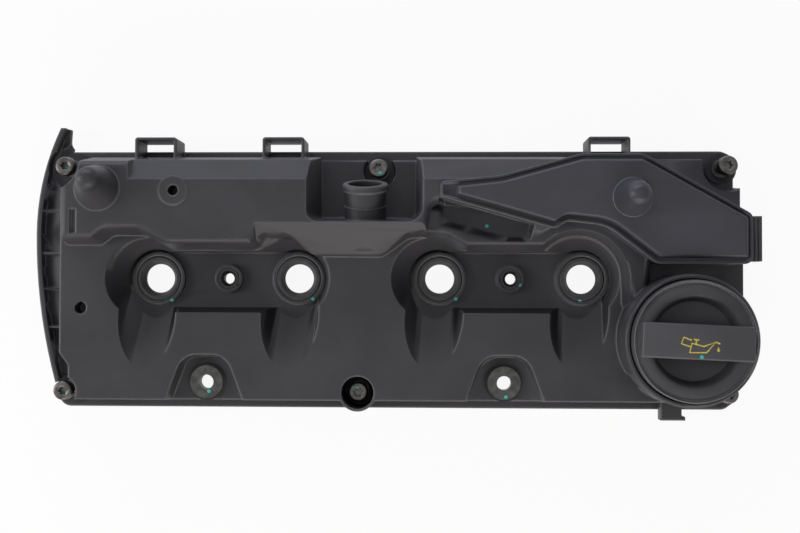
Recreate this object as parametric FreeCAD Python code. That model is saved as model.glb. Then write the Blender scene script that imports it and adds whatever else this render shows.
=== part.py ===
"""Cylinder head cover of a four-cylinder engine, moulded in black plastic.

The cover stands on its rail gasket at z = 0. X runs along the engine, from the splash wing on
the left to the filler on the right, Y from the front edge to the back edge, and Z is up.
Places are worked out from the middle of the injector row, where X and Y are 0, and every piece
is moved at the end, so that the origin lies at the bottom centre of the whole cover.
"""
import FreeCAD, Part
import math
import os

os.makedirs("parts", exist_ok=True)

# Injector row
injector_pitch = 88.0
injector_count = 4
injector_hole_radius = 9.0
clamp_hole_radius = 3.3

# Levels above the sealing plane
gasket_proud = 1.2
flange_top = 9.0
pit_floor = 18.0
pocket_floor = 16.0
sleeve_recess_floor = 27.0
corner_shelf_top = 30.0
deck_top = 38.0
ridge_top = 50.0
chamber_top = 60.0
collar_top = 68.0

# Walls and clearances
wall = 3.0
press_gap = 0.2
running_gap = 0.4
least_radius = 0.3

# Flange, its edges and bolts
flange_left = -199.0
flange_right = 227.5
flange_front = -81.5
flange_back = 81.0
flange_corner = 8.0
ear_radius = 10.7
left_bolt_x = -189.5
right_bolt_x = 220.0
corner_bolt_y = 69.8
front_bolt = (-6.0, -69.6)
back_bolt = (6.0, 68.0)
sleeve_hole_x = (-100.0, 83.5)
sleeve_hole_y = -64.0

# Deck and chamber outlines
deck_left = -189.6
deck_right = 226.8
deck_front = -74.5
deck_back = 73.2
deck_draft = 2.2
chamber_draft = 3.7
ridge_draft = 3.5
chamber_round = 4.5
ridge_round = 3.0
ridge_ledge = 1.0
ridge_recess_floor = 44.5
lid_step = 0.7
corridor_back = 17.2
corridor_front = -21.0
corridor_back_draft = 0.5
corridor_front_draft = 3.0

# Injector pits and the scoops in front of them
lobe_shift = -4.7
lobe_top_radius = 25.3
lobe_floor_radius = 17.0
scoop_radius = 17.6
scoop_slope = 33.0
scoop_tip_shift = -6.5
scoop_tip_y = -55.5
scoop_yaw = 5.0

# Breather pocket and tube
pocket_left = -35.5
pocket_right = 34.2
pocket_front = 33.2
pocket_draft = 5.0
tube_tilt = 16.0
tube_rim = (-1.0, 57.0, 48.0)
tube_radius = 12.4
tube_rim_radius = 13.8
tube_bore = 10.4
tube_length = 40.0
tube_rim_length = 4.0

# Filler collar and its cap
filler_x = 189.8
filler_y = -36.0
collar_radius = 39.0
collar_edge = 1.4
cap_radius = 35.4
collar_seat = 60.0
collar_overhang = 44.0
neck_bottom = 54.0
neck_bore = 24.7
neck_wall = 5.0
cap_rest_angle = -2.5
cap_rim_top = 77.0
grip_top = 84.0
grip_length = 64.0
grip_width = 20.0
lug_angle = 40.0
lug_reach = 3.2
lug_height = 3.4
plug_bottom = 50.0
cap_seal_height = 3.0
cap_pocket_radius = 24.4

# Bosses and seals of the injector and clamp holes
boss_rise = 4.2
injector_boss_radius = 16.4
injector_seal_radius = 14.0
injector_seal_seat = 13.5
clamp_boss_radius = 8.8
clamp_seal_radius = 6.4
clamp_seal_seat = 15.0
boss_bottom = 8.0

# Harness loops on the back edge
loop_left = (-145.7, -66.0, 134.8)
loop_length = 26.0
loop_back = 87.6
loop_low = 7.0
loop_high = 30.0
loop_wall = 1.8

# Separator lid
lid_plate = 2.6
lid_panel_rise = 7.5
lid_rim = 1.6
lid_groove = 2.2
lid_crown = 2.2
lid_beak_x = 54.5
lid_hollow_left = 78.0

# Blind holes on top
chamber_screw = (-114.7, 51.9)
screw_radius = 3.1
screw_ring_radius = 8.8
screw_ring_rise = 0.7
deck_pin = (-176.7, -18.3)
pin_radius = 3.7

# Studs that carry the engine cover
stud_radius = 7.4
stud_foot_radius = 14.0
left_stud_foot = (-160.4, 53.2, 59.0)
left_stud_top = (-160.0, 56.8, 78.0)
lid_stud = (155.7, 47.2)
lid_stud_foot_radius = 11.5
lid_stud_top = 88.0

# Baffle tray of the oil separator
baffle_depth = 22.0
baffle_wall = 1.6
baffle_left = -172.0
baffle_front = 33.6
baffle_length = 100.0
baffle_width = 12.0
baffle_plates = 4
baffle_opening = 4.0
baffle_drain = 2.5

# Fastening hardware
bolt_radius = 3.0
bolt_head_radius = 6.0
bolt_head_height = 5.5
bolt_socket_radius = 2.6
bolt_lift = 14.0
bolt_tip_gap = 0.3
grommet_flange = 2.0
grommet_flange_radius = 9.4
grommet_neck_radius = 6.9
grommet_foot_radius = 7.8
grommet_foot = 1.6
ear_panel = 4.5
sleeve_wall = 1.4
sleeve_bottom = 0.4
shank_gap = 0.3
sleeve_washer = 1.2
sleeve_washer_radius = 5.7
free_flange_radius = 11.4
free_neck_radius = 7.2
free_foot_radius = 7.8
free_washer_radius = 10.2
free_sleeve_bore = 4.4

gasket_width = 2.4
gasket_rim = 1.1
gasket_depth = 3.0
gasket_land = 1.2

injector_x = [(i - (injector_count - 1) / 2) * injector_pitch for i in range(injector_count)]
clamp_x = [(injector_x[i] + injector_x[i + 1]) / 2 for i in range(0, injector_count, 2)]
sleeve_seat = flange_top + grommet_flange + sleeve_washer


def point(x, y, z=0.0):
    return FreeCAD.Vector(x, y, z)


def offset_corners(corners, grow):
    """Moves a counter-clockwise outline of (x, y, radius) corners outwards by grow."""
    moved = []
    count = len(corners)
    for i in range(count):
        x, y, radius = corners[i]
        before = point(x - corners[i - 1][0], y - corners[i - 1][1]).normalize()
        after = point(corners[(i + 1) % count][0] - x, corners[(i + 1) % count][1] - y).normalize()
        bisector = point(before.y + after.y, -before.x - after.x)
        reach = 2 * grow / bisector.Length ** 2
        turn = before.x * after.y - before.y * after.x
        rounded = max(radius + grow if turn > 0 else radius - grow, least_radius)
        moved.append((x + bisector.x * reach, y + bisector.y * reach, rounded if radius else 0.0))
    return moved


def sharp(corners):
    """The same outline with no rounding, for the hidden inside."""
    return [(x, y, 0.0) for x, y, radius in corners]


def sharp_if(inside, corners):
    return sharp(corners) if inside else corners


def outline(corners, z, grow=0.0):
    """Closed wire at height z with every corner of the outline rounded by its own radius."""
    corners = offset_corners(corners, grow)
    count = len(corners)
    arcs = []
    for i in range(count):
        x, y, radius = corners[i]
        here = point(x, y, z)
        before = (here - point(corners[i - 1][0], corners[i - 1][1], z)).normalize()
        after = (point(corners[(i + 1) % count][0], corners[(i + 1) % count][1], z) - here).normalize()
        half_turn = before.getAngle(after) / 2
        tangent = radius * math.tan(half_turn)
        start = here - before * tangent
        end = here + after * tangent
        inward = (after - before).normalize()
        middle = here + inward * (radius / math.cos(half_turn) - radius)
        arcs.append((start, middle, end))
    edges = []
    for i in range(count):
        start, middle, end = arcs[i]
        if corners[i][2]:
            edges.append(Part.Arc(start, middle, end).toShape())
        edges.append(Part.LineSegment(end, arcs[(i + 1) % count][0]).toShape())
    return Part.Wire(edges)


def prism(corners, low, high, grow=0.0):
    """Upright solid on an outline."""
    return Part.Face(outline(corners, low, grow)).extrude(point(0, 0, high - low))


def drafted(corners, low, high, low_grow, high_grow):
    """Solid whose walls lean between two offsets of one outline."""
    return Part.makeLoft([outline(corners, low, low_grow), outline(corners, high, high_grow)], True, True)


def crowned(corners, low, high, low_grow, high_grow, radius, steps=3):
    """Drafted solid whose top edge is rounded, in a few flat steps."""
    lean = (low_grow - high_grow) / (high - low)
    draft = math.atan(lean)
    tangent_z = high - radius + radius * math.sin(draft)
    centre = low_grow - lean * (tangent_z - low) - radius * math.cos(draft)
    rings = [outline(corners, low, low_grow)]
    for k in range(steps + 1):
        angle = draft + (math.pi / 2 - draft) * k / steps
        height = high - radius + radius * math.sin(angle)
        rings.append(outline(corners, height, centre + radius * math.cos(angle)))
    return Part.makeLoft(rings, True, True)


def cylinder(radius, low, high, x=0.0, y=0.0):
    return Part.makeCylinder(radius, high - low, point(x, y, low))


def cone(low_radius, high_radius, low, high, x=0.0, y=0.0):
    return Part.makeCone(low_radius, high_radius, high - low, point(x, y, low))


def box(x0, y0, z0, x1, y1, z1):
    return Part.makeBox(x1 - x0, y1 - y0, z1 - z0, point(x0, y0, z0))


def turned(profile, x=0.0, y=0.0):
    """Solid of revolution from (radius, z) points about an upright axis at (x, y)."""
    corners = [point(x + radius, y, z) for radius, z in profile]
    face = Part.Face(Part.makePolygon(corners + corners[:1]))
    return face.revolve(point(x, y, 0), point(0, 0, 1), 360)


def side_prism(profile, x0, x1):
    """Solid of a (y, z) profile drawn along X from x0 to x1."""
    corners = [point(x0, y, z) for y, z in profile]
    return Part.Face(Part.makePolygon(corners + corners[:1])).extrude(point(x1 - x0, 0, 0))


def leaning_cone(low, low_radius, high, high_radius):
    """Cone whose axis leans, cut level at both ends, from one round end to the other."""
    height = high.z - low.z
    shift = point(high.x - low.x, high.y - low.y)
    toward = (high_radius - low_radius + shift.Length) / height
    away = (high_radius - low_radius - shift.Length) / height
    lean = (math.atan(toward) - math.atan(away)) / 2
    opening = (math.atan(toward) + math.atan(away)) / 2
    apex_height = -2 * low_radius / (toward + away)
    side = shift.normalize()
    apex = low + side * (low_radius + toward * apex_height) + point(0, 0, apex_height)
    axis = side * math.sin(lean) + point(0, 0, math.cos(lean))
    if opening < 0:
        axis = axis * -1
    reach = abs(apex_height) + 2 * height
    solid = Part.makeCone(0, reach * math.tan(abs(opening)), reach, apex, axis)
    half = low_radius + high_radius + shift.Length
    keep = box(low.x - half, low.y - half, low.z, low.x + half, low.y + half, high.z)
    return solid.common(keep)


def dome(radius, low, x, y):
    """Rounded top in a few flat steps."""
    profile = [(0.0, low - 1), (radius, low - 1), (radius, low)]
    for angle in (30.0, 60.0):
        turn = math.radians(angle)
        profile.append((radius * math.cos(turn), low + radius * math.sin(turn)))
    return turned(profile + [(0.0, low + radius)], x, y)


def all_bolts():
    """Places of the six captive bolts: four corners, then front and back middle."""
    corners = [(x, y) for y in (-corner_bolt_y, corner_bolt_y) for x in (left_bolt_x, right_bolt_x)]
    return corners + [front_bolt, back_bolt]


# Outer forms. Each one takes an inset, so that the same form, moved inwards by the wall,
# hollows the cover.

lid_corners = [
    (44.3, 48.0, 3.0), (111.5, 29.0, 6.0), (118.5, 33.6, 6.0), (141.5, 31.0, 26.0),
    (170.5, 8.6, 8.0), (226.0, 8.6, 5.0), (226.0, 37.6, 5.0), (162.5, 73.4, 8.0),
    (127.0, 73.4, 22.0), (80.0, 60.5, 30.0), (44.3, 56.9, 3.0),
]

chamber_corners = [
    (-186.3, 20.3, 2.0), (-163.2, 20.3, 6.0), (-155.8, 26.2, 7.0), (-136.5, 26.2, 10.0),
    (-119.5, corridor_back, 10.0), (-66.8, corridor_back, 4.5), (-62.3, 24.4, 4.5),
    (-47.5, 24.4, 10.0), (-32.5, 13.4, 10.0), (9.5, 13.2, 10.0), (24.5, 24.4, 9.0),
    (38.5, 26.0, 3.0), (41.0, 43.0, 3.0), (104.0, 40.0, 3.0), (125.0, 60.0, 3.0),
    (125.0, deck_back, 4.0), (-186.3, deck_back, 4.0),
]

deck_corners = [
    (-184.0, deck_front, 4.0), (deck_right, deck_front, 4.0), (deck_right, deck_back, 4.0),
    (deck_left, deck_back, 4.0), (deck_left, -46.0, 3.0), (-184.0, -53.5, 4.0),
]

ridge_corners = [
    (25.0, 45.0, 2.0), (25.0, 26.0, 2.0), (47.0, 23.8, 7.0), (59.5, 16.9, 7.0),
    (135.0, 16.9, 4.0), (135.0, 0.0, 4.0), (153.8, 0.0, 4.0), (153.8, -18.5, 4.0),
    (168.5, -18.5, 4.0), (172.0, 12.0, 4.0), (175.0, 45.0, 4.0),
]


def lobe_centre(x):
    return x + lobe_shift


def rear_wedge(inset):
    """What the broad sloping back edge of the chamber takes away."""
    slope = math.atan2(13.5, 14.5)
    drop = inset / math.cos(slope)
    top_y = 58.8
    low_y = deck_back
    high_z = chamber_top - drop
    low_z = chamber_top - 13.5 - drop
    rise = (high_z - low_z) / (low_y - top_y)
    profile = [(top_y - 12, high_z + 12 * rise), (low_y + 12, low_z - 12 * rise), (low_y + 12, chamber_top + 20)]
    return side_prism(profile, -142.0 - inset, 126.0)


def front_wedge(inset):
    """What the slope in front of the breather pocket takes away."""
    foot_y, foot_z = 17.5, 47.5
    head_y, head_z = 32.8, chamber_top
    rise = (head_z - foot_z) / (head_y - foot_y)
    drop = inset * math.hypot(1, rise)
    profile = [
        (head_y + 12, head_z + 12 * rise - drop), (head_y - 30, chamber_top + 20),
        (foot_y - 15, foot_z - 15 * rise - drop),
    ]
    return side_prism(profile, -66.0 - inset, 60.0)


def chamber():
    """Raised chamber along the back, with a rounded front edge."""
    lean = chamber_draft / (chamber_top - deck_top)
    spread = lean * (deck_top - pit_floor)
    solid = crowned(chamber_corners, pit_floor, chamber_top, spread, -chamber_draft, chamber_round, 4)
    return solid.cut(front_wedge(0.0))


def lid_base():
    """Upright part of the chamber under the lid."""
    return prism(lid_corners, pit_floor, chamber_top, -lid_step)


def deck():
    """The lower level, which reaches over the whole flange."""
    return drafted(deck_corners, gasket_proud, deck_top, deck_draft, 0.0)


def ridge():
    """Low ridge that runs from the chamber round the last pit to the filler."""
    lean = ridge_draft / (ridge_top - deck_top)
    spread = lean * (deck_top - pit_floor)
    solid = crowned(ridge_corners, pit_floor, ridge_top, spread, -ridge_draft, ridge_round)
    return solid.cut(ridge_hollow(0.0))


def ridge_hollow(grow):
    low_radius = lobe_top_radius + ridge_ledge - grow
    high_radius = low_radius + ridge_draft * 1.1
    return cone(low_radius, high_radius, deck_top, ridge_top + 1, lobe_centre(injector_x[-1]), 0)


def collar():
    return turned([
        (0.0, flange_top), (collar_radius, flange_top), (collar_radius, collar_top - collar_edge),
        (collar_radius - collar_edge, collar_top), (0.0, collar_top),
    ], filler_x, filler_y)


def inner_forms():
    """The outer forms moved inwards by the wall, with plain corners."""
    lean = chamber_draft / (chamber_top - deck_top)
    spread = lean * (deck_top - pit_floor)
    chamber_lean = -wall - chamber_draft + lean * wall
    rear = drafted(sharp(chamber_corners), pit_floor, chamber_top - wall, spread - wall, chamber_lean)
    rear = rear.cut([front_wedge(wall), rear_wedge(wall)])
    under_lid = prism(sharp(lid_corners), pit_floor, chamber_top - wall, -lid_step - wall)
    lower = drafted(sharp(deck_corners), gasket_proud, deck_top - wall, deck_draft - wall, -wall)
    skirt = prism(sharp(deck_corners), -1.0, gasket_proud + 4, deck_draft - wall)
    along = drafted(sharp(ridge_corners), pit_floor, ridge_top - wall, ridge_draft - wall, -ridge_draft - wall)
    filler = cylinder(collar_radius - wall, -1.0, collar_seat - wall, filler_x, filler_y)
    return [rear, under_lid, lower, skirt, along.cut(ridge_hollow(-wall)), filler]


def bolt_clearances(grow=0.0):
    """Room for the corner bolts, which cuts the corners of the deck and the chamber."""
    high = chamber_top + 10
    low = flange_top - grow
    front = -corner_bolt_y
    back = corner_bolt_y
    return [
        cylinder(10.4 + grow, low, high, left_bolt_x, front),
        cylinder(10.6 + grow, low, collar_overhang + grow, right_bolt_x, front),
        cone(15.0 + grow, 18.5 + grow, low, high, left_bolt_x, back),
        cone(14.6 + grow, 18.0 + grow, low, high, right_bolt_x, back),
    ]


def corner_shelf(grow=0.0):
    """What lies above the low shelf behind the slanted edge of the lid."""
    outside = [
        (226.0, 37.6, 0.3), (240.0, 37.6, 0.3), (240.0, 90.0, 0.3), (162.5, 90.0, 0.3), (162.5, 73.4, 0.3),
    ]
    return prism(sharp(outside), corner_shelf_top - grow, chamber_top + 10, grow)


def bolt_wells(grow=0.0):
    """Upright wells of the two bolts that are not at a corner."""
    low = flange_top - grow
    return [cylinder(9.9 + grow, low, deck_top + 6, *front_bolt), cylinder(10.2 + grow, low, 30, *back_bolt)]


def pits(grow=0.0):
    """The two dog-bone pits: leaning round lobes joined by a corridor."""
    low = pit_floor - grow
    high = deck_top + 1
    rise = (high - pit_floor) / (deck_top - pit_floor)
    spread = lobe_top_radius - lobe_floor_radius
    drop = grow / (deck_top - pit_floor)
    cutters = []
    for x in injector_x:
        low_centre = point(x - 0.8 + drop * lobe_shift, 0, low)
        high_centre = point(x - 0.8 + (lobe_shift + 0.8) * rise, 0, high)
        low_radius = lobe_floor_radius + grow - drop * spread
        high_radius = lobe_floor_radius + spread * rise + grow
        cutters.append(leaning_cone(low_centre, low_radius, high_centre, high_radius))
    for x in clamp_x:
        half = injector_pitch / 2
        rings = []
        for z, share in ((low, 1 + drop), (high, 1 - rise)):
            front = corridor_front + corridor_front_draft * share
            back = corridor_back - 0.3 - corridor_back_draft * share
            corners = [(x - half, front, 0), (x + half, front, 0), (x + half, back, 0), (x - half, back, 0)]
            rings.append(outline(corners, z, grow))
        cutters.append(Part.makeLoft(rings, True, True))
    return cutters


def scoops(grow=0.0):
    """Round-bottomed scoops that run from the deck down into each lobe."""
    slope = math.radians(scoop_slope)
    yaw = math.radians(scoop_yaw)
    axis = point(math.sin(yaw) * math.cos(slope), math.cos(yaw) * math.cos(slope), -math.sin(slope))
    up = point(0, 0, 1) - axis * axis.z
    up.normalize()
    cutters = []
    for x in injector_x:
        tip = point(x + scoop_tip_shift, scoop_tip_y, deck_top)
        start = tip + up * scoop_radius - axis * 40
        tube = Part.makeCylinder(scoop_radius + grow, 90, start, axis)
        keep = box(x - 40, scoop_tip_y - 30, pit_floor - grow, x + 40, 4, deck_top + 12)
        cutters.append(tube.common(keep))
    return cutters


def sleeve_recesses(grow=0.0):
    """Arched recesses round the two open sleeves, open to the front."""
    cutters = []
    for x in sleeve_hole_x:
        arch = [
            (x - 30.0, sleeve_hole_y - 26, 1.0), (x + 30.0, sleeve_hole_y - 26, 1.0),
            (x + 13.6, sleeve_hole_y + 17.6, 13.0), (x - 13.6, sleeve_hole_y + 17.6, 13.0),
        ]
        arch = sharp_if(grow, arch)
        cutters.append(drafted(arch, sleeve_recess_floor - grow, deck_top + 4, grow - 2.2, grow + 0.4))
    return cutters


def pocket(grow=0.0):
    """Deep pocket round the breather tube, open to the back."""
    rim = [
        (pocket_left, pocket_front, 7.0), (pocket_right, pocket_front, 9.0),
        (pocket_right, 95.0, 1.0), (pocket_left, 95.0, 1.0),
    ]
    low = pocket_floor - grow
    return drafted(sharp_if(grow, rim), low, chamber_top + 2, grow - pocket_draft, grow)


def ridge_recess(grow=0.0):
    """Sunken panel between the ridge's edge and the lid, with a broad sloping front wall."""
    rim = [
        (41.0, 32.4, 3.0), (58.8, 27.3, 9.0), (82.0, 21.6, 4.0), (97.5, 21.6, 3.0), (102.5, 38.0, 3.0),
        (44.5, 52.0, 3.0),
    ]
    foot = [
        (47.5, 35.2, 3.0), (62.5, 31.6, 9.0), (84.5, 25.4, 4.0), (96.0, 25.0, 3.0), (100.0, 38.0, 3.0),
        (46.0, 52.0, 3.0),
    ]
    low = ridge_recess_floor - grow
    rings = [outline(sharp_if(grow, foot), low, grow), outline(sharp_if(grow, rim), ridge_top, grow)]
    above = prism(sharp_if(grow, rim), ridge_top, chamber_top - 1, grow)
    cutter = Part.makeLoft(rings, True, True).fuse(above)
    return cutter.cut(prism(lid_corners, low - 1, chamber_top, -lid_step - grow))


def recesses(grow=0.0):
    """Every hollow seen from above, grown by the wall where it shows on the inside."""
    cutters = bolt_clearances(grow) + bolt_wells(grow) + pits(grow) + scoops(grow)
    cutters += sleeve_recesses(grow) + [pocket(grow), corner_shelf(grow), ridge_recess(grow)]
    return cutters


def tube_frame():
    """Axis direction of the breather tube and the middle of its rim."""
    tilt = math.radians(tube_tilt)
    return point(0, math.cos(tilt), math.sin(tilt)), point(*tube_rim)


def breather_tube():
    axis, rim = tube_frame()
    tube = Part.makeCylinder(tube_radius, tube_length, rim - axis * tube_length, axis)
    lip = Part.makeCylinder(tube_rim_radius, tube_rim_length - 0.8, rim - axis * tube_rim_length, axis)
    edge = Part.makeCone(tube_rim_radius, tube_rim_radius - 0.8, 0.8, rim - axis * 0.8, axis)
    return tube.multiFuse([lip, edge])


def breather_bore():
    axis, rim = tube_frame()
    return Part.makeCylinder(tube_bore, tube_length + 2, rim - axis * tube_length, axis)


def flange():
    """Bottom flange with its ears at the corner bolts."""
    plate = [
        (flange_left, flange_front, flange_corner), (flange_right, flange_front, flange_corner),
        (flange_right, flange_back, flange_corner), (flange_left, flange_back, flange_corner),
    ]
    solid = prism(plate, gasket_proud, flange_top)
    ears = [cylinder(ear_radius, gasket_proud, flange_top, x, y) for x, y in all_bolts()[:4]]
    return solid.multiFuse(ears)


def gasket_line():
    """Middle line of the gasket, which passes inside the corner bolts."""
    side = gasket_rim + gasket_width / 2
    left, right = flange_left + side, flange_right - side
    front, back = flange_front + side, flange_back - side
    notch = ear_radius + 1.9
    corners = []
    turns = [
        (left_bolt_x, -corner_bolt_y, left, front), (right_bolt_x, -corner_bolt_y, right, front),
        (right_bolt_x, corner_bolt_y, right, back), (left_bolt_x, corner_bolt_y, left, back),
    ]
    for x, y, edge_x, edge_y in turns:
        inner_x = x + notch if x < 0 else x - notch
        inner_y = y + notch if y < 0 else y - notch
        beside = [(edge_x, inner_y, 3.0), (inner_x, inner_y, notch), (inner_x, edge_y, 3.0)]
        corners += beside if x * y > 0 else beside[::-1]
    return corners


def gasket_ring(low, high, half_width):
    outer = prism(gasket_line(), low, high, half_width)
    return outer.cut(prism(gasket_line(), low - 1, high + 1, -half_width))


def splash_wing():
    """Curved wing on the left end: a sloping trough with a raised rim and a horn at the back."""
    rim_x = -212.2
    knee_y = 28.0
    profile = [
        (-186.0, 19.0), (-209.4, 8.6), (-209.4, 16.0), (rim_x, 16.0), (rim_x, 5.6), (-208.0, 5.6),
        (-186.0, 15.5),
    ]
    sweeps = []
    for radius, angle in ((160.0, -36.0), (350.0, 24.0)):
        corners = [point(x, knee_y, z) for x, z in profile]
        face = Part.Face(Part.makePolygon(corners + corners[:1]))
        sweeps.append(face.revolve(point(rim_x + radius, knee_y, 0), point(0, 0, 1), angle))
    wing = sweeps[0].fuse(sweeps[1])
    plan = [
        (-222.0, -66.0, 1.0), (-186.0, -66.0, 1.0), (-182.0, 81.0, 1.0), (-192.8, 81.0, 7.0),
        (-192.8, 95.6, 0.6), (-222.0, 95.6, 1.0),
    ]
    wing = wing.common(prism(plan, 0, 40))
    for y in (68.0, 43.0, 16.1, -6.6, -31.1):
        rib = box(-211.0, y - 0.6, 7.0, -187.0, y + 0.6, 14.0)
        wing = wing.fuse(rib)
    outside = box(-240, -90, 0, -170, 120, 40)
    keep = [cylinder(radius, 0, 40, rim_x + radius, knee_y) for radius in (160.0, 350.0)]
    front_half = box(-240, -90, 0, -120, knee_y, 40).common(keep[1])
    back_half = box(-240, knee_y, 0, -120, 120, 40).common(keep[0])
    return wing.common(outside).common(front_half.fuse(back_half))


def harness_loops():
    """Three open brackets on the back edge."""
    loops = []
    for x0 in loop_left:
        x1 = x0 + loop_length
        ring = [(x0, 70.0, 0.0), (x1, 70.0, 0.0), (x1, loop_back, 1.8), (x0, loop_back, 1.8)]
        loop = prism(ring, loop_low, loop_high)
        loops.append(loop.cut(prism(sharp(ring), loop_low - 1, loop_high + 1, -loop_wall)))
    return loops


def front_hook():
    """Cable hook under the filler: a short arm with a turned-down lip."""
    arm = box(181.0, -87.4, 16.0, 194.0, -74.0, 18.6)
    lip = box(182.2, -87.4, 8.0, 194.0, -85.2, 18.6)
    gusset = box(181.0, -87.4, 10.0, 183.2, -74.0, 18.6)
    nose = box(194.0, -87.4, 8.0, 196.2, -85.2, 18.6)
    return [arm, lip, gusset, nose]


def side_tab():
    """Ribbed clip tab on the right end."""
    tab = box(224.0, 10.6, 36.0, 235.6, 37.6, 47.0)
    for x in (228.4, 230.8, 233.2):
        tab = tab.cut(box(x - 0.5, 5.0, 46.0, x + 0.5, 45.0, 50.0))
    return tab


def left_stud():
    """Leaning stud that carries the engine cover, on the left of the chamber."""
    top = point(*left_stud_top)
    shank = leaning_cone(point(*left_stud_foot), stud_foot_radius, top, stud_radius)
    return shank.fuse(dome(stud_radius, top.z, top.x, top.y))


def screw_bosses():
    """Round bosses under the two blind screw holes."""
    return [
        cylinder(screw_radius + wall, 44.0, chamber_top - 1, *chamber_screw),
        cylinder(pin_radius + wall, 24.0, deck_top - 1, *deck_pin),
    ]


def screw_ring():
    """Low ring round the screw hole on top of the chamber."""
    return cylinder(screw_ring_radius, chamber_top - 1, chamber_top + screw_ring_rise, *chamber_screw)


def hole_bosses():
    """Tubular bosses of the injector and clamp holes, through the pit floors."""
    high = pit_floor + boss_rise
    bosses = [cylinder(injector_boss_radius, boss_bottom, high, x, 0) for x in injector_x]
    bosses += [cylinder(clamp_boss_radius, boss_bottom, high, x, 0) for x in clamp_x]
    return bosses


def bolt_bosses():
    """Columns round the bolts in the flange, and the outer half of the front bolt well."""
    columns = [cylinder(ear_radius, gasket_proud, flange_top, x, y) for x, y in all_bolts()]
    well = cylinder(11.4, gasket_proud, deck_top, *front_bolt)
    return columns + [well]


def neck():
    return cylinder(neck_bore + neck_wall, neck_bottom, collar_seat, filler_x, filler_y)


def cavity():
    """The open underside of the cover, kept inside the line of the gasket."""
    forms = inner_forms()
    hollow = forms[0].multiFuse(forms[1:])
    land = prism(sharp(gasket_line()), -2.0, chamber_top + 10, -gasket_width / 2 - gasket_land)
    land = land.fuse(cylinder(collar_radius - wall, collar_overhang + wall, collar_seat, filler_x, filler_y))
    columns = recesses(wall) + hole_bosses() + bolt_bosses() + screw_bosses() + [neck()]
    return hollow.common(land).cut(columns)


def panel_stack(seat, panel, neck_radius, foot_radius):
    """Hole and counterbore for a grommet in a panel whose top is at seat."""
    bore = cylinder(neck_radius + press_gap, seat - panel - 1, seat + 1)
    foot = cylinder(foot_radius + press_gap, seat - panel - 12, seat - panel)
    return bore.fuse(foot)


def bores():
    """Every round hole that goes through the cover."""
    cutters = []
    for x in injector_x:
        cutters.append(cylinder(injector_seal_radius, injector_seal_seat, pit_floor + 10, x, 0))
        cutters.append(cylinder(injector_seal_radius - 3.0, 0, 20, x, 0))
    for x in clamp_x:
        cutters.append(cylinder(clamp_seal_radius, clamp_seal_seat, pit_floor + 10, x, 0))
        cutters.append(cylinder(clamp_seal_radius - 2.0, 0, 20, x, 0))
    for x, y in all_bolts():
        hole = panel_stack(flange_top, ear_panel, grommet_neck_radius, grommet_foot_radius)
        cutters.append(hole.translated(point(x, y)))
    for x in sleeve_hole_x:
        hole = cylinder(free_neck_radius + press_gap, 0, sleeve_recess_floor + 1, x, sleeve_hole_y)
        cutters.append(hole)
    cutters.append(cylinder(screw_radius, 47.0, chamber_top + 2, *chamber_screw))
    cutters.append(cylinder(pin_radius, 27.0, deck_top + 1, *deck_pin))
    cutters.append(box(-176.6, 26.3, chamber_top - 1.8, -173.1, 40.8, chamber_top + 1))
    return cutters


def filler_bore():
    """Recess for the cap, the neck below it and the entry slots of the cap's two lugs."""
    recess = cylinder(cap_radius + 1.0, collar_seat, collar_top + 1)
    through = cylinder(neck_bore, neck_bottom - 20, collar_seat + 1)
    slots = lug_ring(neck_bottom - 1, collar_seat + 1, lug_reach + running_gap, lug_angle + 8.0)
    slots.rotate(point(0, 0), point(0, 0, 1), 90 + cap_rest_angle)
    cutter = recess.multiFuse([through, slots])
    return cutter.translated(point(filler_x, filler_y))


def lug_ring(low, high, reach, width):
    """Two opposite sectors outside the neck bore."""
    outer = neck_bore - running_gap + reach
    sectors = []
    for middle in (90.0, 270.0):
        sector = Part.makeCylinder(outer, high - low, point(0, 0, low), point(0, 0, 1), width)
        sector.rotate(point(0, 0), point(0, 0, 1), middle - width / 2)
        sectors.append(sector)
    return sectors[0].fuse(sectors[1])


def cover_body():
    outside = chamber().multiFuse([lid_base(), deck(), ridge(), collar(), flange(), splash_wing()])
    outside = outside.multiFuse(harness_loops() + front_hook() + [side_tab()] + bolt_bosses()[-1:])
    back_slope = rear_wedge(0.0).cut(lid_base())
    outside = outside.cut([back_slope] + recesses())
    outside = outside.multiFuse([breather_tube(), left_stud(), screw_ring()] + hole_bosses())
    shell = outside.cut([cavity(), breather_bore(), filler_bore()] + bores())
    groove = gasket_ring(0.0, gasket_proud + gasket_depth, gasket_width / 2 + press_gap)
    return shell.cut(groove)


def rail_gasket():
    return gasket_ring(0.0, gasket_proud + gasket_depth, gasket_width / 2)


def separator_lid():
    """Welded lid over the oil separator: a grooved flange, a crowned panel and a stud."""
    low = chamber_top
    plate_top = low + lid_plate
    plate = prism(lid_corners, low, plate_top)
    groove = prism(lid_corners, plate_top - lid_groove, plate_top + 1, -lid_rim)
    plate = plate.cut(groove)
    inside = offset_corners(lid_corners, -lid_rim - lid_groove)[1:-1]
    panel_corners = inside + [(lid_beak_x, 53.9, 0.9), (lid_beak_x, 49.3, 0.9)]
    panel = crowned(panel_corners, low, low + lid_panel_rise, 0.2, 0.0, lid_crown)
    shank = cone(lid_stud_foot_radius, stud_radius, low + lid_panel_rise - 1, lid_stud_top, *lid_stud)
    lid = plate.multiFuse([panel, shank, dome(stud_radius, lid_stud_top, *lid_stud)])
    hollow = prism(sharp(inside), low - 1, low + lid_panel_rise - wall, -2.0)
    return lid.cut(hollow.cut(box(0, 0, 0, lid_hollow_left, 90, 90)))


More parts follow.
